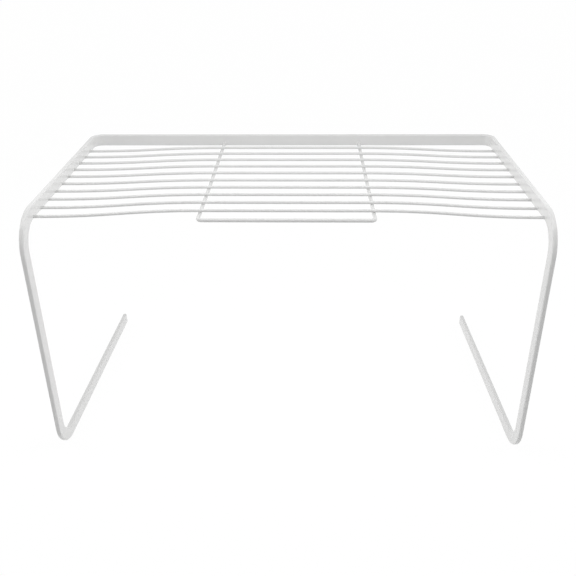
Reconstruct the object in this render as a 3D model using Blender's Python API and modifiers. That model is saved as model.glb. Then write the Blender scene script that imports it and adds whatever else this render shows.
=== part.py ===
"""A kitchen shelf organizer that stands on the worktop or in a cupboard.

One flat bar, standing on edge, is bent into both feet, both front legs, both side rails and the rear rail.
Cross wires bridge the side rails, and a U-shaped support wire under them carries their middle.
Metres, +Z up. The origin is on the floor under the middle of the shelf, and the front faces -Y.
"""

import math

import bmesh
import bpy
from mathutils import Matrix, Vector

# Overall size, to the outer faces of the flat bar
OVERALL_WIDTH = 0.400
OVERALL_DEPTH = 0.222
OVERALL_HEIGHT = 0.220

# Flat bar: its height is the wide side, which stands upright in the rails and feet
BAR_HEIGHT = 0.0108
BAR_THICKNESS = 0.0038
BAR_EDGE_RADIUS = 0.0012
BAR_END_ROUNDING = 0.0005

# Bends of the flat bar, measured to its centre line
FRONT_BEND_RADIUS = 0.025
FLOOR_BEND_RADIUS = 0.020
REAR_BEND_RADIUS = 0.009

# Feet: the length from the leg's front edge, and how far the rear end stands in from the leg
FOOT_LENGTH = 0.222
FOOT_TOE_IN = 0.0065

# Cross wires, evenly spaced between the rear rail and the front of the shelf. Each leaves the rail level for the end
# run, and its climb to the support wire starts and ends with a long bend over the bend run
CROSS_WIRE_COUNT = 10
CROSS_WIRE_DIAMETER = 0.0024
CROSS_WIRE_LIFT = 0.0005
CROSS_WIRE_END_RUN = 0.003
CROSS_WIRE_BEND_RUN = 0.027
REAR_WIRE_SETBACK = 0.0237
FRONT_WIRE_SETBACK = 0.0303

# Support wire: its legs run level from the rear rail to a knee, then climb to the nose in front of the deck
SUPPORT_DIAMETER = 0.003
SUPPORT_SPACING = 0.134
SUPPORT_OVERHANG = 0.0127
SUPPORT_CORNER_RADIUS = 0.0035
SUPPORT_LIFT = 0.0022
SUPPORT_NOSE_LIFT = 0.0042
SUPPORT_KNEE_SHARE = 0.6
SUPPORT_KNEE_RADIUS = 0.200

# Clearance between pieces that touch
SEAT_GAP = 0.0003

# White powder coat over every piece
COAT_COLOR = (0.86, 0.86, 0.85)
COAT_ROUGHNESS = 0.35

# Fineness of the round shapes
BEND_STEPS = 12
EDGE_SEGMENTS = 3
END_SEGMENTS = 2
TWIST_STEPS = 8
CLIMB_STEPS = 5
CORNER_STEPS = 6
WIRE_RESOLUTION = 2

# Places that follow from the sizes
SIDE_X = OVERALL_WIDTH / 2 - BAR_THICKNESS / 2
REAR_Y = OVERALL_DEPTH / 2 - BAR_THICKNESS / 2
LEG_Y = -OVERALL_DEPTH / 2 + BAR_HEIGHT / 2
RAIL_Z = OVERALL_HEIGHT - BAR_HEIGHT / 2
RAIL_UNDERSIDE_Z = OVERALL_HEIGHT - BAR_HEIGHT
FOOT_Z = BAR_HEIGHT / 2
REAR_RAIL_FACE_Y = OVERALL_DEPTH / 2 - BAR_THICKNESS
SIDE_RAIL_FACE_X = OVERALL_WIDTH / 2 - BAR_THICKNESS
REAR_WIRE_Y = REAR_RAIL_FACE_Y - REAR_WIRE_SETBACK
FRONT_WIRE_Y = -OVERALL_DEPTH / 2 + FRONT_WIRE_SETBACK
SUPPORT_NOSE_Y = FRONT_WIRE_Y - SUPPORT_OVERHANG
SUPPORT_KNEE_Y = REAR_RAIL_FACE_Y - SUPPORT_KNEE_SHARE * (REAR_RAIL_FACE_Y - SUPPORT_NOSE_Y)
SUPPORT_LEG_X = SUPPORT_SPACING / 2


def clear_scene():
    """Removes every object that the file opened with."""
    for item in list(bpy.data.objects):
        bpy.data.objects.remove(item, do_unlink=True)


def new_collection(name):
    collection = bpy.data.collections.new(name)
    bpy.context.scene.collection.children.link(collection)
    return collection


def coating(name):
    """The powder coat of one piece, which hides the steel."""
    material = bpy.data.materials.new(name)
    material.use_nodes = True
    shader = material.node_tree.nodes["Principled BSDF"]
    shader.inputs["Base Color"].default_value = (*COAT_COLOR, 1.0)
    shader.inputs["Roughness"].default_value = COAT_ROUGHNESS
    shader.inputs["Metallic"].default_value = 0.0
    return material


def rounded_path(corners, radii, steps):
    """The corners of a path joined by straight runs, with an arc of the given radius at each inner corner."""
    path = [corners[0]]
    for before, corner, after, radius in zip(corners, corners[1:], corners[2:], radii):
        inward, outward = (before - corner).normalized(), (after - corner).normalized()
        half_angle = inward.angle(outward) / 2
        to_centre = (inward + outward).normalized() * (radius / math.sin(half_angle))
        centre = corner + to_centre
        start = corner + inward * (radius / math.tan(half_angle)) - centre
        turn = math.pi - 2 * half_angle
        axis = start.cross(corner + outward * (radius / math.tan(half_angle)) - centre)
        for step in range(steps + 1):
            path.append(centre + Matrix.Rotation(turn * step / steps, 3, axis) @ start)
    path.append(corners[-1])
    return path


def wire_object(name, points, diameter, material, collection):
    """A round wire along the points, with a flat cut at each end."""
    curve = bpy.data.curves.new(name, "CURVE")
    curve.dimensions = "3D"
    curve.bevel_depth = diameter / 2
    curve.bevel_resolution = WIRE_RESOLUTION
    curve.use_fill_caps = True
    spline = curve.splines.new("POLY")
    spline.points.add(len(points) - 1)
    for knot, point in zip(spline.points, points):
        knot.co = (*point, 1.0)
    curve.materials.append(material)
    wire = bpy.data.objects.new(name, curve)
    collection.objects.link(wire)
    return wire


def bar_outline(mesh):
    """The rounded outline of the flat bar, across the rear rail in the plane X = 0."""
    corners = bmesh.ops.create_grid(mesh, x_segments=1, y_segments=1, size=1 / 2)["verts"]
    bmesh.ops.scale(mesh, verts=corners, vec=(BAR_HEIGHT, BAR_THICKNESS, 1))
    bmesh.ops.bevel(
        mesh, geom=corners, offset=BAR_EDGE_RADIUS, offset_type="OFFSET",
        segments=EDGE_SEGMENTS, profile=0.5, affect="VERTICES",
    )
    upright = Matrix.Translation((0, REAR_Y, RAIL_Z)) @ Matrix.Rotation(math.pi / 2, 4, "Y")
    bmesh.ops.transform(mesh, matrix=upright, verts=mesh.verts)
    bmesh.ops.delete(mesh, geom=mesh.faces[:], context="FACES_ONLY")
    return mesh.edges[:]


def run_straight(mesh, ring, travel, steps=1, twist=0.0):
    """Carries the bar's outline along a straight run, turning it by the twist about the run on the way."""
    for _ in range(steps):
        grown = bmesh.ops.extrude_edge_only(mesh, edges=ring)["geom"]
        verts = [item for item in grown if isinstance(item, bmesh.types.BMVert)]
        ring = [item for item in grown if isinstance(item, bmesh.types.BMEdge)]
        ring = [edge for edge in ring if all(vert in verts for vert in edge.verts)]
        middle = sum((vert.co for vert in verts), Vector()) / len(verts)
        turn = Matrix.Rotation(twist / steps, 3, travel)
        bmesh.ops.rotate(mesh, cent=middle, matrix=turn, verts=verts)
        bmesh.ops.translate(mesh, vec=travel / steps, verts=verts)
    return ring


def run_bend(mesh, ring, centre, axis):
    """Carries the bar's outline round a right-angle bend."""
    swept = bmesh.ops.spin(
        mesh, geom=ring, cent=centre, axis=axis, angle=math.pi / 2, steps=BEND_STEPS, use_duplicate=False,
    )
    return [item for item in swept["geom_last"] if isinstance(item, bmesh.types.BMEdge)]


def build_frame_bar(collection):
    """The frame's left half from the middle of the rear rail to the foot's end, mirrored to the right."""
    mesh = bmesh.new()
    ring = bar_outline(mesh)

    corner = Vector((-SIDE_X + REAR_BEND_RADIUS, REAR_Y - REAR_BEND_RADIUS, RAIL_Z))
    ring = run_straight(mesh, ring, Vector((corner.x, 0, 0)))
    ring = run_bend(mesh, ring, corner, Vector((0, 0, 1)))

    front = Vector((-SIDE_X, LEG_Y + FRONT_BEND_RADIUS, RAIL_Z - FRONT_BEND_RADIUS))
    ring = run_straight(mesh, ring, Vector((0, front.y - corner.y, 0)))
    ring = run_bend(mesh, ring, front, Vector((1, 0, 0)))

    # The leg turns a little on its way down, so that the foot stands upright although it toes in
    foot_run = FOOT_LENGTH - BAR_HEIGHT / 2
    toe_angle = math.asin(FOOT_TOE_IN / foot_run)
    along_foot = Vector((math.sin(toe_angle), math.cos(toe_angle), 0))
    floor_z = FOOT_Z + FLOOR_BEND_RADIUS
    ring = run_straight(mesh, ring, Vector((0, 0, floor_z - front.z)), TWIST_STEPS, toe_angle)
    floor = Vector((-SIDE_X, LEG_Y, floor_z)) + along_foot * FLOOR_BEND_RADIUS
    ring = run_bend(mesh, ring, floor, Vector((along_foot.y, -along_foot.x, 0)))
    ring = run_straight(mesh, ring, along_foot * (foot_run - FLOOR_BEND_RADIUS))

    end_face = bmesh.ops.contextual_create(mesh, geom=ring)["faces"]
    bmesh.ops.bevel(
        mesh, geom=end_face[0].edges[:], offset=BAR_END_ROUNDING, offset_type="OFFSET",
        segments=END_SEGMENTS, profile=0.5, affect="EDGES",
    )
    bmesh.ops.recalc_face_normals(mesh, faces=mesh.faces)

    data = bpy.data.meshes.new("frame_bar")
    mesh.to_mesh(data)
    mesh.free()
    data.materials.append(coating("frame_coating"))
    data.shade_smooth()
    data.set_sharp_from_angle(angle=math.radians(40))
    frame = bpy.data.objects.new("frame_bar", data)
    collection.objects.link(frame)
    mirror = frame.modifiers.new("right half", "MIRROR")
    mirror.use_axis = (True, False, False)
    mirror.merge_threshold = 0.0001
    return frame


def support_height(y):
    """Height of the support wire's centre line, which is level behind its knee and climbs in front of it."""
    climb_share = max(0, (SUPPORT_KNEE_Y - y) / (SUPPORT_KNEE_Y - SUPPORT_NOSE_Y))
    return RAIL_UNDERSIDE_Z + SUPPORT_LIFT + climb_share * (SUPPORT_NOSE_LIFT - SUPPORT_LIFT)


def build_support_wire(collection):
    """The U under the deck: two legs from the rear rail, joined by a bar in front of the last cross wire."""
    leg_ys = [REAR_RAIL_FACE_Y - SEAT_GAP, SUPPORT_KNEE_Y, SUPPORT_NOSE_Y]
    left_leg = [Vector((-SUPPORT_LEG_X, y, support_height(y))) for y in leg_ys]
    right_leg = [Vector((SUPPORT_LEG_X, y, support_height(y))) for y in reversed(leg_ys)]
    radii = [SUPPORT_KNEE_RADIUS, SUPPORT_CORNER_RADIUS, SUPPORT_CORNER_RADIUS, SUPPORT_KNEE_RADIUS]
    path = rounded_path(left_leg + right_leg, radii, CORNER_STEPS)
    return wire_object("support_wire", path, SUPPORT_DIAMETER, coating("support_coating"), collection)


def build_cross_wire(number, collection):
    """A wire from side rail to side rail, lifted in the middle by the support wire under it."""
    share = (number - 1) / (CROSS_WIRE_COUNT - 1)
    y = REAR_WIRE_Y + share * (FRONT_WIRE_Y - REAR_WIRE_Y)
    end_x = SIDE_RAIL_FACE_X - SEAT_GAP
    end_z = RAIL_UNDERSIDE_Z + CROSS_WIRE_DIAMETER / 2 + CROSS_WIRE_LIFT
    middle_z = support_height(y) + (SUPPORT_DIAMETER + CROSS_WIRE_DIAMETER) / 2 + SEAT_GAP
    low_x = end_x - CROSS_WIRE_END_RUN - CROSS_WIRE_BEND_RUN
    high_x = SUPPORT_LEG_X + CROSS_WIRE_BEND_RUN
    slope = math.atan2(middle_z - end_z, low_x - high_x)
    corners = [
        Vector((-end_x, 0, end_z)),
        Vector((-low_x, 0, end_z)),
        Vector((-high_x, 0, middle_z)),
        Vector((high_x, 0, middle_z)),
        Vector((low_x, 0, end_z)),
        Vector((end_x, 0, end_z)),
    ]
    bend_radius = CROSS_WIRE_BEND_RUN / math.tan(slope / 2)
    path = rounded_path(corners, [bend_radius] * 4, CLIMB_STEPS)
    name = f"cross_wire_{number}"
    wire = wire_object(name, path, CROSS_WIRE_DIAMETER, coating(f"{name}_coating"), collection)
    wire.location.y = y
    return wire


def main():
    clear_scene()
    parts = new_collection("kitchen_shelf_organizer")
    build_frame_bar(parts)
    build_support_wire(parts)
    for number in range(1, CROSS_WIRE_COUNT + 1):
        build_cross_wire(number, parts)


main()
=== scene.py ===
"""The finish of a kitchen shelf organizer: a bent flat-bar frame, a support wire and ten cross wires.

Metres, +Z up. The origin is on the floor under the middle of the shelf, and the front faces -Y.
"""

import math

import bpy
from mathutils import Matrix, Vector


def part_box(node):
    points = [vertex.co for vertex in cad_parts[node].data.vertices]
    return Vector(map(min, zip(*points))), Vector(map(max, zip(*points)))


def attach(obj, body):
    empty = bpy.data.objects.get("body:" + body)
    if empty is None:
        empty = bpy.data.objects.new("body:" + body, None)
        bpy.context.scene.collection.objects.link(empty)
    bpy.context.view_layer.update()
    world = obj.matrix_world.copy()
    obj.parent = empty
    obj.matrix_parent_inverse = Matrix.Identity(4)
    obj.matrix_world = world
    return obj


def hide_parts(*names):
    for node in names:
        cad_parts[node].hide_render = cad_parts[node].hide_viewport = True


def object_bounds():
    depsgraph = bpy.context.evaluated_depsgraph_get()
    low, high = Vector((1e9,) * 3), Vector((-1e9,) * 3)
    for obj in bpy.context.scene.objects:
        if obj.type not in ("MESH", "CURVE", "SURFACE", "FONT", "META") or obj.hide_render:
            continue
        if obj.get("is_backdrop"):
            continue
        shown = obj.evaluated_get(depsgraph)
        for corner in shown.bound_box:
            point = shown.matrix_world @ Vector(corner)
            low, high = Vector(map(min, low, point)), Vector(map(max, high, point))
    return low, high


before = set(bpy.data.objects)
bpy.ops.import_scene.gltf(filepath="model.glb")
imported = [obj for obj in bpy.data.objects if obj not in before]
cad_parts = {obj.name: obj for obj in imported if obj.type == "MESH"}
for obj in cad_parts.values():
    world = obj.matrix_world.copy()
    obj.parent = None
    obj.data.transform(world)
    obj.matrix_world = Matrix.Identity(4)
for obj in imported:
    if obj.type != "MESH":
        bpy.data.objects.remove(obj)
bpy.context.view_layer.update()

# Frame bar
# One flat bar of mild steel with rolled round edges, bent cold into both feet, both legs, the side rails and
# the rear rail. Its ends are sawn and deburred. The whole shelf is powder-coated white after welding.

FRAME_WIDTH = 0.400
FRAME_DEPTH = 0.222
FRAME_HEIGHT = 0.220
BAR_HEIGHT = 0.0108
BAR_THICKNESS = 0.0038
BAR_EDGE_RADIUS = 0.0012
REAR_BEND_RADIUS = 0.009
FRONT_BEND_RADIUS = 0.025
FLOOR_BEND_RADIUS = 0.020
FOOT_LENGTH = 0.222
FOOT_TOE_IN = 0.0065
BAR_BEND_STEPS = 24
BAR_EDGE_STEPS = 5
BAR_END_ROUNDING = 0.0005
BAR_END_STEPS = 3
SHARP_ANGLE = math.radians(60)
MERGE_TOLERANCE = 0.00001

# Powder coat: a grain reaches over a share of the grains' spacing, and its height counts in peel depths
COAT_WHITE = (0.80, 0.80, 0.795, 1.0)
COAT_IOR = 1.5
SHADE_CHANGE = 0.03
ROUGHNESS_CHANGE = 0.04
PEEL_DETAIL = 2.0
CLOUD_DETAIL = 3.0
CLOUD_AT_DARKEST = 0.3
CLOUD_AT_LIGHTEST = 0.7
GRAIN_SPACING = 0.012
GRAIN_REACH = 0.045
GRAIN_HEIGHT = 2.0
BAR_COAT = {"roughness": 0.08, "peel_size": 0.0016, "peel_depth": 0.000006, "cloud_size": 0.030}


def feed(tree, socket, value):
    """Gives a socket a plain value or another node's output."""
    if isinstance(value, bpy.types.NodeSocket):
        tree.links.new(value, socket)
    else:
        socket.default_value = value


def add_node(tree, kind, inputs=None, **settings):
    """Adds a node to a tree, with its settings, and fills its inputs by name or number."""
    node = tree.nodes.new(kind)
    for setting, value in settings.items():
        setattr(node, setting, value)
    for name, value in (inputs or {}).items():
        feed(tree, node.inputs[name], value)
    return node


def result_of(tree, kind, inputs=None, **settings):
    """The first output of a new node."""
    return add_node(tree, kind, inputs, **settings).outputs[0]


def work_out(tree, operation, *values):
    """The result of one sum on the values."""
    return result_of(tree, "ShaderNodeMath", dict(enumerate(values)), operation=operation)


def carry_over(tree, value, start, end, start_result, end_result, **settings):
    """Turns a value from start to end into one between their results, and holds it there past both."""
    inputs = {0: value, 1: start, 2: end, 3: start_result, 4: end_result}
    return result_of(tree, "ShaderNodeMapRange", inputs, **settings)


def scaled(tree, vector, factor):
    """A direction or a colour times a factor."""
    return result_of(tree, "ShaderNodeVectorMath", {0: vector, "Scale": factor}, operation="SCALE")


def point_at(tree, x, y, z):
    """The point with these three coordinates."""
    return result_of(tree, "ShaderNodeCombineXYZ", {0: x, 1: y, 2: z})


def coordinates(tree, point=None):
    """The three coordinates of a point, or of each corner of the shape in hand."""
    if point is None:
        point = result_of(tree, "GeometryNodeInputPosition")
    return add_node(tree, "ShaderNodeSeparateXYZ", {0: point}).outputs


def joined(tree, *shapes):
    """Several shapes as one."""
    join = add_node(tree, "GeometryNodeJoinGeometry")
    for shape in shapes:
        tree.links.new(shape, join.inputs[0])
    return join.outputs[0]


def fused(tree, *shapes):
    """Several shapes as one, whose corners are one where they meet."""
    inputs = {"Geometry": joined(tree, *shapes), "Distance": MERGE_TOLERANCE}
    return result_of(tree, "GeometryNodeMergeByDistance", inputs)


def without_faces(tree, shape, selection):
    """A shape without the faces that a selection marks."""
    inputs = {"Geometry": shape, "Selection": selection}
    return result_of(tree, "GeometryNodeDeleteGeometry", inputs, domain="FACE")


def ring_of(tree, sides, radius):
    """A ring with so many sides."""
    return result_of(tree, "GeometryNodeCurvePrimitiveCircle", {"Resolution": sides, "Radius": radius})


def swept(tree, path, outline, scale=1.0):
    """A solid with this outline along a path, closed at its ends; the scale may change on the way."""
    inputs = {"Curve": path, "Profile Curve": outline, "Scale": scale, "Fill Caps": True}
    return result_of(tree, "GeometryNodeCurveToMesh", inputs)


def with_arcs(tree, curve, steps, radius):
    """A curve with an arc at each corner."""
    inputs = {"Curve": curve, "Count": steps, "Radius": radius}
    return result_of(tree, "GeometryNodeFilletCurve", inputs, mode="POLY")


def new_group(name, kind, inputs, outputs):
    """An empty node group, with its sockets given by kind, and the sockets that its inputs arrive on."""
    group = bpy.data.node_groups.new(name, kind)
    for side, sockets in (("INPUT", inputs), ("OUTPUT", outputs)):
        for socket, labels in sockets.items():
            for label in labels:
                group.interface.new_socket(label, in_out=side, socket_type=f"NodeSocket{socket}")
    return group, group.nodes.new("NodeGroupInput").outputs


def bare_tree(owner):
    """The emptied node tree of a material or a world."""
    owner.use_nodes = True
    owner.node_tree.nodes.clear()
    return owner.node_tree


def powder_coat_group():
    """A sprayed and baked coat: orange peel, slow changes of shade and gloss, a few trapped grains, and
    painted shade.
    """
    group, given = new_group(
        "powder coat", "ShaderNodeTree",
        {
            "Vector": ("Place",),
            "Color": ("Coat Color",),
            "Float": (
                "Peel Size", "Cloud Size", "Shade Change", "Painted Shade", "Mean Roughness", "Roughness Change",
                "Grain Spacing",
            ),
        },
        {"Color": ("Color",), "Float": ("Roughness", "Height")},
    )

    def noise(size, detail):
        scale = work_out(group, "DIVIDE", 1.0, size)
        return result_of(
            group, "ShaderNodeTexNoise", {"Vector": given["Place"], "Scale": scale, "Detail": detail},
        )

    peel = noise(given["Peel Size"], PEEL_DETAIL)
    cloud = noise(given["Cloud Size"], CLOUD_DETAIL)
    darkest = work_out(group, "SUBTRACT", 1.0, given["Shade Change"])
    shade = carry_over(group, cloud, CLOUD_AT_DARKEST, CLOUD_AT_LIGHTEST, darkest, 1.0)
    # Painted shade: the colour is darkened by the share given
    shade = work_out(group, "MULTIPLY", shade, work_out(group, "SUBTRACT", 1.0, given["Painted Shade"]))
    color = scaled(group, given["Coat Color"], shade)

    uneven = work_out(group, "SUBTRACT", work_out(group, "ADD", peel, cloud), 1.0)
    roughness = work_out(group, "MULTIPLY_ADD", uneven, given["Roughness Change"], given["Mean Roughness"])

    spacing = work_out(group, "DIVIDE", 1.0, given["Grain Spacing"])
    cell = result_of(group, "ShaderNodeTexVoronoi", {"Vector": given["Place"], "Scale": spacing})
    grain = carry_over(group, cell, 0.0, GRAIN_REACH, 1.0, 0.0)
    height = work_out(group, "MULTIPLY_ADD", grain, GRAIN_HEIGHT, peel)

    add_node(group, "NodeGroupOutput", {"Color": color, "Roughness": roughness, "Height": height})
    return group


powder_coat = powder_coat_group()


def coat_material(name, roughness, peel_size, peel_depth, cloud_size, painted_shade=None):
    """A white coat, as sprayed on one kind of stock; an optional painted shade darkens its colour by a share
    at a place.
    """
    material = bpy.data.materials.new(name)
    tree = bare_tree(material)
    place = add_node(tree, "ShaderNodeTexCoord").outputs["Object"]
    coat = add_node(
        tree, "ShaderNodeGroup",
        {
            "Place": place, "Coat Color": COAT_WHITE, "Peel Size": peel_size, "Cloud Size": cloud_size,
            "Shade Change": SHADE_CHANGE, "Painted Shade": painted_shade(tree, place) if painted_shade else 0.0,
            "Mean Roughness": roughness, "Roughness Change": ROUGHNESS_CHANGE,
            "Grain Spacing": GRAIN_SPACING,
        },
        node_tree=powder_coat,
    ).outputs
    relief = result_of(
        tree, "ShaderNodeBump", {"Height": coat["Height"], "Strength": 1.0, "Distance": peel_depth},
    )
    shader = result_of(
        tree, "ShaderNodeBsdfPrincipled",
        {"Base Color": coat["Color"], "Roughness": coat["Roughness"], "IOR": COAT_IOR, "Normal": relief},
    )
    add_node(tree, "ShaderNodeOutputMaterial", {"Surface": shader})
    return material


def rounded_path(tree, corners, radii, steps):
    """The corner points joined by straight runs, with an arc of its own radius at each corner."""
    index = result_of(tree, "GeometryNodeInputIndex")
    by_corner = []
    for kind, values in (("VECTOR", corners), ("FLOAT", radii)):
        switch = add_node(tree, "GeometryNodeIndexSwitch", {"Index": index}, data_type=kind)
        while len(switch.index_switch_items) < len(values):
            switch.index_switch_items.new()
        for number, value in enumerate(values, start=1):
            feed(tree, switch.inputs[number], value)
        by_corner.append(switch.outputs[0])
    places, bends = by_corner
    points = result_of(tree, "GeometryNodeMeshLine", {"Count": len(corners)})
    placed = result_of(tree, "GeometryNodeSetPosition", {"Geometry": points, "Position": places})
    marked = result_of(
        tree, "GeometryNodeStoreNamedAttribute", {"Geometry": placed, "Name": "bend_radius", "Value": bends},
    )
    run = result_of(tree, "GeometryNodeMeshToCurve", {"Mesh": marked})
    radius = result_of(tree, "GeometryNodeInputNamedAttribute", {"Name": "bend_radius"})
    return with_arcs(tree, run, steps, radius)


def close_tree(tree, mesh, material):
    """Ends a tree in one smooth mesh with its coat."""
    real = result_of(tree, "GeometryNodeRealizeInstances", {"Geometry": mesh})
    smooth = result_of(tree, "GeometryNodeSetShadeSmooth", {"Geometry": real})
    coated = result_of(tree, "GeometryNodeSetMaterial", {"Geometry": smooth, "Material": material})
    add_node(tree, "NodeGroupOutput", {0: coated})


def piece_from(tree, name, sizes, finish=None):
    """The piece that a tree makes from its sizes, as a plain mesh at the origin."""
    piece = bpy.data.objects.new(name, bpy.data.meshes.new(name))
    bpy.context.scene.collection.objects.link(piece)
    maker = piece.modifiers.new(tree.name, "NODES")
    maker.node_group = tree
    for socket in tree.interface.items_tree:
        if socket.in_out == "INPUT":
            maker[socket.identifier] = sizes[socket.name]
    if finish:
        finish(piece)
    depsgraph = bpy.context.evaluated_depsgraph_get()
    mesh = bpy.data.meshes.new_from_object(piece.evaluated_get(depsgraph), depsgraph=depsgraph)
    piece.modifiers.clear()
    piece.data = mesh
    mesh.name = name
    return piece


def frame_tree():
    """The flat bar: its left half, from the rear rail's middle to the foot's end, and the mirror of that."""
    tree, given = new_group(
        "bent flat bar", "GeometryNodeTree",
        {
            "Float": (
                "Width", "Depth", "Height", "Bar Height", "Bar Thickness", "Edge Radius",
                "Rear Bend", "Front Bend", "Floor Bend", "Foot Length", "Toe In",
            ),
            "Int": ("Bend Steps", "Edge Steps"),
            "Material": ("Coat",),
        },
        {"Geometry": ("Bar",)},
    )

    def sum_of(operation, *values):
        return work_out(tree, operation, *values)

    half_height = sum_of("MULTIPLY", given["Bar Height"], 0.5)
    side_x = sum_of("MULTIPLY", sum_of("SUBTRACT", given["Bar Thickness"], given["Width"]), 0.5)
    rear_y = sum_of("MULTIPLY", sum_of("SUBTRACT", given["Depth"], given["Bar Thickness"]), 0.5)
    leg_y = sum_of("MULTIPLY", sum_of("SUBTRACT", given["Bar Height"], given["Depth"]), 0.5)
    rail_z = sum_of("SUBTRACT", given["Height"], half_height)
    foot_run = sum_of("SUBTRACT", given["Foot Length"], half_height)
    toe_angle = sum_of("ARCSINE", sum_of("DIVIDE", given["Toe In"], foot_run))
    foot_end_x = sum_of("ADD", side_x, given["Toe In"])
    foot_end_y = sum_of("MULTIPLY_ADD", foot_run, sum_of("COSINE", toe_angle), leg_y)
    path = rounded_path(
        tree,
        [
            point_at(tree, 0.0, rear_y, rail_z),
            point_at(tree, side_x, rear_y, rail_z),
            point_at(tree, side_x, leg_y, rail_z),
            point_at(tree, side_x, leg_y, half_height),
            point_at(tree, foot_end_x, foot_end_y, half_height),
        ],
        [0.0, given["Rear Bend"], given["Front Bend"], given["Floor Bend"], 0.0],
        given["Bend Steps"],
    )

    place = coordinates(tree)
    leg_top = sum_of("SUBTRACT", rail_z, given["Front Bend"])
    leg_foot = sum_of("ADD", half_height, given["Floor Bend"])
    turn = carry_over(tree, place["Z"], leg_top, leg_foot, 0.0, toe_angle)
    turned = result_of(tree, "GeometryNodeSetCurveTilt", {"Curve": path, "Tilt": turn})

    section = result_of(
        tree, "GeometryNodeCurvePrimitiveQuadrilateral",
        {"Width": given["Bar Thickness"], "Height": given["Bar Height"]},
    )
    section = with_arcs(tree, section, given["Edge Steps"], given["Edge Radius"])
    at_middle = sum_of("GREATER_THAN", place["X"], -MERGE_TOLERANCE)
    left = without_faces(tree, swept(tree, turned, section), at_middle)
    right = result_of(tree, "GeometryNodeTransform", {"Geometry": left, "Scale": (-1.0, 1.0, 1.0)})
    right = result_of(tree, "GeometryNodeFlipFaces", {"Mesh": right})
    close_tree(tree, fused(tree, left, right), given["Coat"])
    return tree


def round_bar_ends(bar):
    """Deburrs the sawn ends, and keeps the bar's flats flat where they meet its round edges."""
    deburr = bar.modifiers.new("deburred ends", "BEVEL")
    deburr.limit_method = "ANGLE"
    deburr.angle_limit = SHARP_ANGLE
    deburr.width = BAR_END_ROUNDING
    deburr.segments = BAR_END_STEPS
    flats = bar.modifiers.new("flat faces", "WEIGHTED_NORMAL")
    flats.keep_sharp = True


frame_bar = piece_from(
    frame_tree(), "bent_frame_bar",
    {
        "Width": FRAME_WIDTH, "Depth": FRAME_DEPTH, "Height": FRAME_HEIGHT,
        "Bar Height": BAR_HEIGHT, "Bar Thickness": BAR_THICKNESS, "Edge Radius": BAR_EDGE_RADIUS,
        "Rear Bend": REAR_BEND_RADIUS, "Front Bend": FRONT_BEND_RADIUS, "Floor Bend": FLOOR_BEND_RADIUS,
        "Foot Length": FOOT_LENGTH, "Toe In": FOOT_TOE_IN,
        "Bend Steps": BAR_BEND_STEPS, "Edge Steps": BAR_EDGE_STEPS,
        "Coat": coat_material("frame coat", **BAR_COAT),
    },
    round_bar_ends,
)
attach(frame_bar, "root")
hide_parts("frame_bar")

# Support wire
# One round steel wire bent into a U: two legs under the deck and a bar in front of it, with tight corners.
# Its rear ends are butt-welded to the rear rail, and a small collar of weld metal shows there under the coat.

SUPPORT_DIAMETER = 0.003
SUPPORT_SPACING = 0.134
SUPPORT_CORNER_RADIUS = 0.0035
SUPPORT_LIFT = 0.0022
SUPPORT_NOSE_LIFT = 0.0042
SUPPORT_KNEE_SHARE = 0.6
SUPPORT_KNEE_RADIUS = 0.200
SUPPORT_COLLAR_WIDTH = 0.0054
SUPPORT_COLLAR_LENGTH = 0.0024
WIRE_SIDES = 20
WIRE_BEND_STEPS = 12
WIRE_COAT = {"roughness": 0.12, "peel_size": 0.0012, "peel_depth": 0.000005, "cloud_size": 0.018}
WELD_DEPTH = 0.0002
WELD_STEPS = 8
WELD_CURVE = 2.5

rail_underside_z = FRAME_HEIGHT - BAR_HEIGHT
rear_rail_face_y = FRAME_DEPTH / 2 - BAR_THICKNESS
support_low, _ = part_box("support_wire")
support_nose_y = support_low.y + SUPPORT_DIAMETER / 2
support_knee_y = rear_rail_face_y - SUPPORT_KNEE_SHARE * (rear_rail_face_y - support_nose_y)
support_rear_z = rail_underside_z + SUPPORT_LIFT
support_nose_z = rail_underside_z + SUPPORT_NOSE_LIFT


def weld_fillet_group():
    """A weld fillet round a wire's end: along +Z it opens from the wire's width to the weld's."""
    group, given = new_group(
        "weld fillet", "GeometryNodeTree",
        {"Float": ("Wire Width", "Weld Width", "Length"), "Int": ("Sides",)},
        {"Geometry": ("Fillet",)},
    )
    step = point_at(group, 0.0, 0.0, work_out(group, "DIVIDE", given["Length"], WELD_STEPS))
    stations = result_of(group, "GeometryNodeMeshLine", {"Count": WELD_STEPS + 1, "Offset": step})
    spine = result_of(group, "GeometryNodeMeshToCurve", {"Mesh": stations})
    along = add_node(group, "GeometryNodeSplineParameter").outputs["Factor"]
    opening = work_out(group, "POWER", along, WELD_CURVE)
    growth = work_out(group, "SUBTRACT", given["Weld Width"], given["Wire Width"])
    width = work_out(group, "MULTIPLY_ADD", growth, opening, given["Wire Width"])
    unit_ring = ring_of(group, given["Sides"], 0.5)
    add_node(group, "NodeGroupOutput", {0: swept(group, spine, unit_ring, width)})
    return group


weld_fillet = weld_fillet_group()


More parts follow.
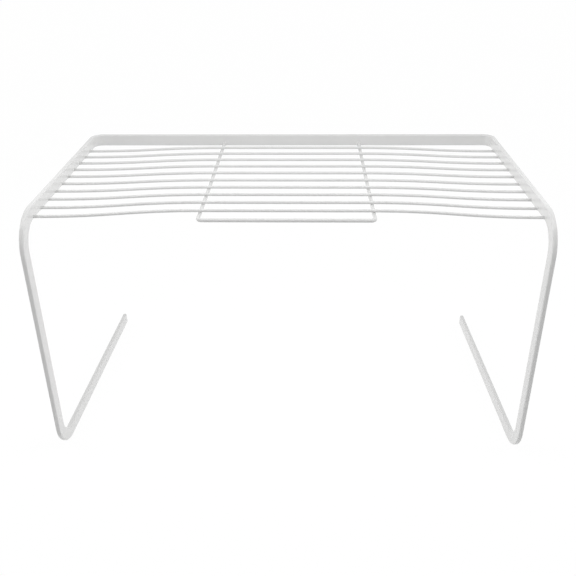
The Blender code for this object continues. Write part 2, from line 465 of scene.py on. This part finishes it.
def coated_wire_group():
    """A round wire along a bent path, with a weld fillet at each end."""
    group, given = new_group(
        "coated wire", "GeometryNodeTree",
        {"Geometry": ("Path",), "Float": ("Diameter", "Weld Width", "Weld Length"), "Int": ("Sides",)},
        {"Geometry": ("Wire",)},
    )
    ring = ring_of(group, given["Sides"], work_out(group, "MULTIPLY", given["Diameter"], 0.5))
    wire = swept(group, given["Path"], ring)
    fillet = result_of(
        group, "GeometryNodeGroup",
        {
            "Wire Width": given["Diameter"], "Weld Width": given["Weld Width"],
            "Length": given["Weld Length"], "Sides": given["Sides"],
        },
        node_tree=weld_fillet,
    )
    back = point_at(group, 0.0, 0.0, work_out(group, "MULTIPLY", given["Weld Length"], -1.0))
    set_back = result_of(group, "GeometryNodeTransform", {"Geometry": fillet, "Translation": back})

    ends = result_of(group, "GeometryNodeCurveEndpointSelection", {"Start Size": 1, "End Size": 1})
    along = add_node(group, "GeometryNodeSplineParameter").outputs["Factor"]
    tangent = result_of(group, "GeometryNodeInputTangent")
    outward = scaled(group, tangent, work_out(group, "MULTIPLY_ADD", along, 2.0, -1.0))
    facing = result_of(group, "FunctionNodeAlignRotationToVector", {"Vector": outward}, axis="Z")
    fillets = result_of(
        group, "GeometryNodeInstanceOnPoints",
        {"Points": given["Path"], "Selection": ends, "Instance": set_back, "Rotation": facing},
    )
    add_node(group, "NodeGroupOutput", {0: joined(group, wire, fillets)})
    return group


coated_wire = coated_wire_group()


def wire_along(tree, path, given):
    """Lays the coated wire along a path, in the sizes that the tree was given."""
    stock = {size: given[size] for size in ("Diameter", "Sides", "Weld Width", "Weld Length")}
    wire = result_of(tree, "GeometryNodeGroup", {"Path": path, **stock}, node_tree=coated_wire)
    close_tree(tree, wire, given["Coat"])


def support_tree():
    """The U: each leg is level from the rear rail to its knee, then climbs to the nose."""
    tree, given = new_group(
        "support wire", "GeometryNodeTree",
        {
            "Float": (
                "Leg Spacing", "Rear Y", "Knee Y", "Nose Y", "Rear Height", "Nose Height",
                "Knee Radius", "Corner Radius", "Diameter", "Weld Width", "Weld Length",
            ),
            "Int": ("Sides", "Bend Steps"),
            "Material": ("Coat",),
        },
        {"Geometry": ("Wire",)},
    )
    right_x = work_out(tree, "MULTIPLY", given["Leg Spacing"], 0.5)
    left_x = work_out(tree, "MULTIPLY", given["Leg Spacing"], -0.5)
    leg = [("Rear Y", "Rear Height"), ("Knee Y", "Rear Height"), ("Nose Y", "Nose Height")]
    corners = [point_at(tree, left_x, given[y], given[z]) for y, z in leg]
    corners += [point_at(tree, right_x, given[y], given[z]) for y, z in reversed(leg)]
    knee, nose = given["Knee Radius"], given["Corner Radius"]
    path = rounded_path(tree, corners, [0.0, knee, nose, nose, knee, 0.0], given["Bend Steps"])
    wire_along(tree, path, given)
    return tree


support_wire = piece_from(
    support_tree(), "bent_support_wire",
    {
        "Leg Spacing": SUPPORT_SPACING, "Rear Y": rear_rail_face_y + WELD_DEPTH, "Knee Y": support_knee_y,
        "Nose Y": support_nose_y, "Rear Height": support_rear_z, "Nose Height": support_nose_z,
        "Knee Radius": SUPPORT_KNEE_RADIUS, "Corner Radius": SUPPORT_CORNER_RADIUS,
        "Diameter": SUPPORT_DIAMETER, "Sides": WIRE_SIDES, "Bend Steps": WIRE_BEND_STEPS,
        "Weld Width": SUPPORT_COLLAR_WIDTH, "Weld Length": SUPPORT_COLLAR_LENGTH,
        "Coat": coat_material("support coat", **WIRE_COAT),
    },
)
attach(support_wire, "root")
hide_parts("support_wire")

# Cross wires
# Ten thinner steel wires, cut to length and butt-welded to the inner faces of both side rails near their
# lower edge. The support wire lifts their middle, so each climbs in a long shallow bow from rail to support.
# Their colour is darkened over the last few millimetres next to the rails, as painted shade.

CROSS_WIRE_COUNT = 10
CROSS_WIRE_DIAMETER = 0.0024
CROSS_WIRE_END_RUN = 0.003
CROSS_WIRE_BEND_RUN = 0.027
CROSS_COLLAR_WIDTH = 0.0028
CROSS_COLLAR_LENGTH = 0.0020
# Painted shade next to the side rails: how far it reaches along a wire and the most colour it takes
PAINTED_SHADE_LENGTH = 0.005
PAINTED_SHADE_SHARE = 0.14

side_rail_face_x = FRAME_WIDTH / 2 - BAR_THICKNESS


def cross_wire_tree():
    """A wire from rail to rail: it leaves one level, climbs to the support's leg, and comes down alike."""
    tree, given = new_group(
        "cross wire", "GeometryNodeTree",
        {
            "Float": (
                "Reach", "Leg Spacing", "Place Y", "End Height", "Middle Height",
                "End Run", "Bend Run", "Diameter", "Weld Width", "Weld Length",
            ),
            "Int": ("Sides", "Bend Steps"),
            "Material": ("Coat",),
        },
        {"Geometry": ("Wire",)},
    )
    end_x = work_out(tree, "MULTIPLY", given["Reach"], 0.5)
    bend_start_x = work_out(tree, "SUBTRACT", end_x, given["End Run"])
    low_x = work_out(tree, "SUBTRACT", bend_start_x, given["Bend Run"])
    high_x = work_out(tree, "MULTIPLY_ADD", given["Leg Spacing"], 0.5, given["Bend Run"])
    climb = work_out(tree, "SUBTRACT", given["Middle Height"], given["End Height"])
    slope = work_out(tree, "ARCTAN2", climb, work_out(tree, "SUBTRACT", low_x, high_x))
    half_turn = work_out(tree, "TANGENT", work_out(tree, "MULTIPLY", slope, 0.5))
    radius = work_out(tree, "DIVIDE", given["Bend Run"], half_turn)
    right = [(high_x, "Middle Height"), (low_x, "End Height"), (end_x, "End Height")]
    left = [(work_out(tree, "MULTIPLY", x, -1.0), height) for x, height in reversed(right)]
    corners = [point_at(tree, x, given["Place Y"], given[height]) for x, height in left + right]
    path = rounded_path(tree, corners, [0.0, radius, radius, radius, radius, 0.0], given["Bend Steps"])
    wire_along(tree, path, given)
    return tree


def painted_shade_at_rails(tree, place):
    """A painted shade: the share of the wire's colour that is darkened, growing toward the side rails."""
    across = work_out(tree, "ABSOLUTE", coordinates(tree, place)["X"])
    return carry_over(
        tree, across, side_rail_face_x - PAINTED_SHADE_LENGTH, side_rail_face_x, 0.0, PAINTED_SHADE_SHARE,
        interpolation_type="SMOOTHSTEP",
    )


cross_wire = cross_wire_tree()
# The cross wires' coat, with painted shade next to the side rails
cross_coat = coat_material("cross wire coat", **WIRE_COAT, painted_shade=painted_shade_at_rails)
for number in range(1, CROSS_WIRE_COUNT + 1):
    node = f"cross_wire_{number}"
    low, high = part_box(node)
    wire = piece_from(
        cross_wire, f"welded_{node}",
        {
            "Reach": 2 * (side_rail_face_x + WELD_DEPTH), "Leg Spacing": SUPPORT_SPACING,
            "Place Y": (low.y + high.y) / 2, "End Height": low.z + CROSS_WIRE_DIAMETER / 2,
            "Middle Height": high.z - CROSS_WIRE_DIAMETER / 2,
            "End Run": CROSS_WIRE_END_RUN, "Bend Run": CROSS_WIRE_BEND_RUN,
            "Diameter": CROSS_WIRE_DIAMETER, "Sides": WIRE_SIDES, "Bend Steps": WIRE_BEND_STEPS,
            "Weld Width": CROSS_COLLAR_WIDTH, "Weld Length": CROSS_COLLAR_LENGTH, "Coat": cross_coat,
        },
    )
    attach(wire, "root")
    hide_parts(node)

# Spot welds
# Where a cross wire lies on the support wire, the two are pressed together hot. A short neck of steel joins
# them there, and the coat has run into the notch round it.

NECK_WAIST = 0.0015
NECK_ROOT = 0.0020
NECK_HALF_HEIGHT = 0.0008
NECK_SIDES = 16


def spot_weld_tree():
    """A waisted neck at each crossing, row by row from the rear, on top of the support wire's two legs."""
    tree, given = new_group(
        "spot welds", "GeometryNodeTree",
        {
            "Float": (
                "Rear Wire Y", "Front Wire Y", "Leg Spacing", "Knee Y", "Nose Y",
                "Rear Height", "Nose Height", "Waist", "Root", "Half Height",
            ),
            "Int": ("Rows", "Sides"),
            "Material": ("Coat",),
        },
        {"Geometry": ("Welds",)},
    )
    index = result_of(tree, "GeometryNodeInputIndex")
    row = work_out(tree, "FLOOR", work_out(tree, "DIVIDE", index, 2.0))
    side = work_out(tree, "SUBTRACT", work_out(tree, "MODULO", index, 2.0), 0.5)
    run = work_out(tree, "SUBTRACT", given["Front Wire Y"], given["Rear Wire Y"])
    pitch = work_out(tree, "DIVIDE", run, work_out(tree, "SUBTRACT", given["Rows"], 1.0))
    x = work_out(tree, "MULTIPLY", side, given["Leg Spacing"])
    y = work_out(tree, "MULTIPLY_ADD", row, pitch, given["Rear Wire Y"])
    z = carry_over(tree, y, given["Knee Y"], given["Nose Y"], given["Rear Height"], given["Nose Height"])
    points = result_of(
        tree, "GeometryNodePoints",
        {"Count": work_out(tree, "MULTIPLY", given["Rows"], 2.0), "Position": point_at(tree, x, y, z)},
    )

    upper = result_of(
        tree, "GeometryNodeGroup",
        {
            "Wire Width": given["Waist"], "Weld Width": given["Root"],
            "Length": given["Half Height"], "Sides": given["Sides"],
        },
        node_tree=weld_fillet,
    )
    at_waist = work_out(tree, "LESS_THAN", coordinates(tree)["Z"], MERGE_TOLERANCE)
    upper = without_faces(tree, upper, at_waist)
    lower = result_of(tree, "GeometryNodeTransform", {"Geometry": upper, "Rotation": (math.pi, 0.0, 0.0)})
    neck = fused(tree, upper, lower)
    necks = result_of(tree, "GeometryNodeInstanceOnPoints", {"Points": points, "Instance": neck})
    close_tree(tree, necks, given["Coat"])
    return tree


rear_wire_low, rear_wire_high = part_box("cross_wire_1")
front_wire_low, front_wire_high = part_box(f"cross_wire_{CROSS_WIRE_COUNT}")
spot_welds = piece_from(
    spot_weld_tree(), "spot_welds",
    {
        "Rear Wire Y": (rear_wire_low.y + rear_wire_high.y) / 2,
        "Front Wire Y": (front_wire_low.y + front_wire_high.y) / 2,
        "Leg Spacing": SUPPORT_SPACING, "Knee Y": support_knee_y, "Nose Y": support_nose_y,
        "Rear Height": support_rear_z + SUPPORT_DIAMETER / 2,
        "Nose Height": support_nose_z + SUPPORT_DIAMETER / 2,
        "Waist": NECK_WAIST, "Root": NECK_ROOT, "Half Height": NECK_HALF_HEIGHT,
        "Rows": CROSS_WIRE_COUNT, "Sides": NECK_SIDES, "Coat": cross_coat,
    },
)
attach(spot_welds, "root")

# Worktop and light
# The shelf stands on a plain white worktop in a white room. The side walls are its brightest part and the
# wall in front is the dimmest. One long soft light hangs above the shelf's front edge, turned to the rear.

WORKTOP_SIZE = 8.0
WORKTOP_GREY = (0.85, 0.85, 0.85, 1.0)
WORKTOP_ROUGHNESS = 0.9
WORKTOP_WHITENESS = 0.90
WORKTOP_GLOW = 1.04
PURE_WHITE = (1.0, 1.0, 1.0, 1.0)
CEILING_LEVEL = 0.43
SIDE_WALL_LEVEL = 1.30
SIDE_WALL_START = 0.3
SIDE_WALL_FULL = 0.9
REAR_WALL_LEVEL = 0.63
FRONT_WALL_LEVEL = 0.18
END_WALL_START = 0.0
END_WALL_FULL = 0.8
LAMP_WIDTH = 0.80
LAMP_DEPTH = 0.15
LAMP_PLACE = (0.0, -0.12, 0.42)
LAMP_TURN = math.radians(50)
LAMP_POWER = 0.56


def seen_as_white(tree):
    """1 for the eye and for what a gloss or a glass shows, and 0 for the light that falls on things."""
    path = add_node(tree, "ShaderNodeLightPath").outputs
    seen = work_out(tree, "MAXIMUM", path["Is Camera Ray"], path["Is Glossy Ray"])
    return work_out(tree, "MAXIMUM", seen, path["Is Transmission Ray"])


def mixed(tree, share, surface, white):
    """A surface with a share of white over it."""
    return result_of(tree, "ShaderNodeMixShader", {0: share, 1: surface, 2: white})


def worktop_material():
    """A matt pale top that looks white and still takes the shelf's shadow."""
    material = bpy.data.materials.new("worktop")
    tree = bare_tree(material)
    top = result_of(
        tree, "ShaderNodeBsdfPrincipled", {"Base Color": WORKTOP_GREY, "Roughness": WORKTOP_ROUGHNESS},
    )
    white = result_of(tree, "ShaderNodeEmission", {"Color": PURE_WHITE, "Strength": WORKTOP_GLOW})
    share = work_out(tree, "MULTIPLY", seen_as_white(tree), WORKTOP_WHITENESS)
    add_node(tree, "ShaderNodeOutputMaterial", {"Surface": mixed(tree, share, top, white)})
    return material


def white_room():
    """A room that looks white and lights the shelf by its walls' and its ceiling's levels."""
    room = bpy.data.worlds.new("white room")
    tree = bare_tree(room)
    toward = coordinates(tree, add_node(tree, "ShaderNodeTexCoord").outputs["Generated"])
    to_side = work_out(tree, "ABSOLUTE", toward["X"])
    to_front = work_out(tree, "MULTIPLY", toward["Y"], -1.0)
    level = CEILING_LEVEL
    for share, start, full, wall_level in (
        (to_side, SIDE_WALL_START, SIDE_WALL_FULL, SIDE_WALL_LEVEL),
        (toward["Y"], END_WALL_START, END_WALL_FULL, REAR_WALL_LEVEL),
        (to_front, END_WALL_START, END_WALL_FULL, FRONT_WALL_LEVEL),
    ):
        change = carry_over(
            tree, share, start, full, 0.0, wall_level - CEILING_LEVEL, interpolation_type="SMOOTHSTEP",
        )
        level = work_out(tree, "ADD", level, change)
    fill = result_of(tree, "ShaderNodeBackground", {"Color": PURE_WHITE, "Strength": level})
    white = result_of(tree, "ShaderNodeBackground", {"Color": PURE_WHITE, "Strength": 1.0})
    add_node(tree, "ShaderNodeOutputWorld", {"Surface": mixed(tree, seen_as_white(tree), fill, white)})
    return room


half = WORKTOP_SIZE / 2
worktop_corners = [(-half, -half, 0), (half, -half, 0), (half, half, 0), (-half, half, 0)]
worktop_mesh = bpy.data.meshes.new("worktop")
worktop_mesh.from_pydata(worktop_corners, [], [(0, 1, 2, 3)])
worktop_mesh.materials.append(worktop_material())
worktop = bpy.data.objects.new("worktop", worktop_mesh)
bpy.context.scene.collection.objects.link(worktop)
worktop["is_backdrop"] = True

bpy.context.scene.world = white_room()

lamp = bpy.data.lights.new("soft light above", "AREA")
lamp.shape = "RECTANGLE"
lamp.size = LAMP_WIDTH
lamp.size_y = LAMP_DEPTH
lamp.energy = LAMP_POWER
soft_light = bpy.data.objects.new("soft light above", lamp)
soft_light.matrix_world = Matrix.Translation(LAMP_PLACE) @ Matrix.Rotation(LAMP_TURN, 4, "X")
soft_light.visible_camera = False
bpy.context.scene.collection.objects.link(soft_light)

# Camera
# It stands in front of the shelf, about twice as high as the deck, and looks down at the shelf's middle.

CAMERA_PLACE = (0.01467, -0.58909, 0.42429)
CAMERA_PITCH = math.radians(28.44)
CAMERA_YAW = math.radians(-1.59)
CAMERA_ROLL = math.radians(-0.50)
CAMERA_SENSOR = 36.0
CAMERA_LENS = 44.618
CAMERA_NEAR_LIMIT = 0.01

camera = bpy.data.objects.new("camera", bpy.data.cameras.new("camera"))
camera.data.sensor_width = CAMERA_SENSOR
camera.data.lens = CAMERA_LENS
camera.data.clip_start = CAMERA_NEAR_LIMIT
camera.matrix_world = (
    Matrix.Translation(CAMERA_PLACE)
    @ Matrix.Rotation(-CAMERA_YAW, 4, "Z")
    @ Matrix.Rotation(math.radians(90) - CAMERA_PITCH, 4, "X")
    @ Matrix.Rotation(CAMERA_ROLL, 4, "Z")
)
bpy.context.scene.collection.objects.link(camera)
bpy.context.scene.camera = camera
bpy.context.scene.view_settings.view_transform = "Standard"

low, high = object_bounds()
